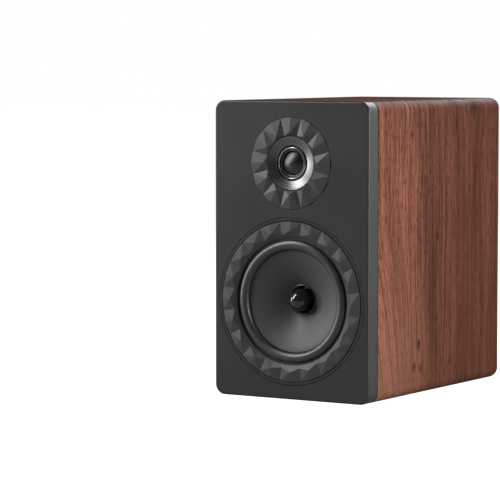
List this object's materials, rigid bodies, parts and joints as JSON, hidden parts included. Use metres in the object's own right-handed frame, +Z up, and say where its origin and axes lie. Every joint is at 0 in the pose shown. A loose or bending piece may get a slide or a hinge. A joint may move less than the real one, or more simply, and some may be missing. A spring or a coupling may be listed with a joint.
{
  "type": "bookshelf speaker",
  "caption": "Two-way bookshelf speaker: walnut cabinet, dark grey baffle, faceted trim rings, cone woofer with phase plug, dome tweeter, rear port and binding posts.",
  "frame": {"origin": "centre of the cabinet's underside, midway between the baffle's front and the back panel's rear face", "axes": "+Z up, the drivers face -Y, +X to the right as seen from the front"},
  "size_m": [0.204, 0.3282, 0.34],
  "materials": {
    "baffle": "satin dark grey lacquer",
    "walnut": "satin walnut veneer, grain upright",
    "fibreboard": "raw",
    "wadding": "loose fibre",
    "black_frame": "fine satin black",
    "facets": "satin dark grey facets",
    "surround_rubber": "satin",
    "cone": "matte grey fibre",
    "spider_cloth": "resin-dipped weave",
    "gloss_black": "polished",
    "steel": "plated",
    "ferrite": "matte",
    "copper": "enamelled wire",
    "waveguide_metal": "turned, brushed round",
    "dome_silk": "coated, satin",
    "black_plastic": "fine grain",
    "red_plastic": "glossy",
    "brass": "gold plated",
    "board": "laminate",
    "capacitor_film": "wrapped",
    "ceramic": "matte"
  },
  "bodies": {
    "root": {"back_panel": "walnut", "baffle": "baffle", "bottom_panel": "walnut", "crossover_board": "board", "crossover_capacitor": "capacitor_film", "crossover_resistor": "ceramic", "dome_ring": "waveguide_metal", "dome_surround": "dome_silk", "grille_magnet_1": "steel", "grille_magnet_2": "steel", "grille_magnet_3": "steel", "grille_magnet_4": "steel", "left_panel": "walnut", "nut_black": "brass", "nut_red": "brass", "phase_plug": "gloss_black", "port_tube": "black_plastic", "post_black": "brass", "post_red": "brass", "right_panel": "walnut", "terminal_cup": "black_plastic", "terminal_screw_1": "steel", "terminal_screw_2": "steel", "terminal_screw_3": "steel", "terminal_screw_4": "steel", "top_panel": "walnut", "tweeter_inductor": "copper", "tweeter_lead": "black_plastic", "tweeter_magnet": "ferrite", "tweeter_plate": "black_frame", "tweeter_pole_piece": "steel", "tweeter_screw_1": "steel", "tweeter_screw_2": "steel", "tweeter_screw_3": "steel", "tweeter_top_plate": "steel", "tweeter_trim_ring": "facets", "wadding": "wadding", "waveguide": "waveguide_metal", "window_brace": "fibreboard", "woofer_basket": "black_frame", "woofer_inductor": "copper", "woofer_lead": "black_plastic", "woofer_magnet": "ferrite", "woofer_pole_piece": "steel", "woofer_screw_1": "steel", "woofer_screw_2": "steel", "woofer_screw_3": "steel", "woofer_screw_4": "steel", "woofer_spider": "spider_cloth", "woofer_surround": "surround_rubber", "woofer_top_plate": "steel", "woofer_trim_ring": "facets"},
    "woofer_moving": {"woofer_cone": "cone", "woofer_voice_coil": "copper"},
    "tweeter_moving": {"dome": "dome_silk", "tweeter_voice_coil": "copper"},
    "washer_red_body": {"washer_red": "brass"},
    "cap_red_body": {"cap_red": "red_plastic"},
    "washer_black_body": {"washer_black": "brass"},
    "cap_black_body": {"cap_black": "black_plastic"}
  },
  "joints": [
    {"name": "cone_travel", "type": "slide", "parent": "root", "child": "woofer_moving", "axis": [0, 1, 0], "range_m": [-0.005, 0.005], "stiffness_N_per_m": 1000, "deforming": ["woofer_surround", "woofer_spider"]},
    {"name": "dome_travel", "type": "slide", "parent": "root", "child": "tweeter_moving", "axis": [0, 1, 0], "range_m": [-0.0004, 0.0004], "stiffness_N_per_m": 2000, "deforming": ["dome_surround"]},
    {"name": "washer_red_travel", "type": "slide", "parent": "root", "child": "washer_red_body", "axis": [0, 1, 0], "range_m": [0, 0.006]},
    {"name": "cap_red_turn", "type": "hinge", "parent": "washer_red_body", "child": "cap_red_body", "pos_m": [0.018, 0.146, 0.095], "axis": [0, 1, 0], "range_deg": [0, 2196]},
    {"name": "washer_black_travel", "type": "slide", "parent": "root", "child": "washer_black_body", "axis": [0, 1, 0], "range_m": [0, 0.006]},
    {"name": "cap_black_turn", "type": "hinge", "parent": "washer_black_body", "child": "cap_black_body", "pos_m": [-0.018, 0.146, 0.095], "axis": [0, 1, 0], "range_deg": [0, 2196]}
  ],
  "couplings": [
    {"joint": "cap_red_turn", "follows": "washer_red_travel", "rad_per_m": 6283.2},
    {"joint": "cap_black_turn", "follows": "washer_black_travel", "rad_per_m": 6283.2}
  ]
}
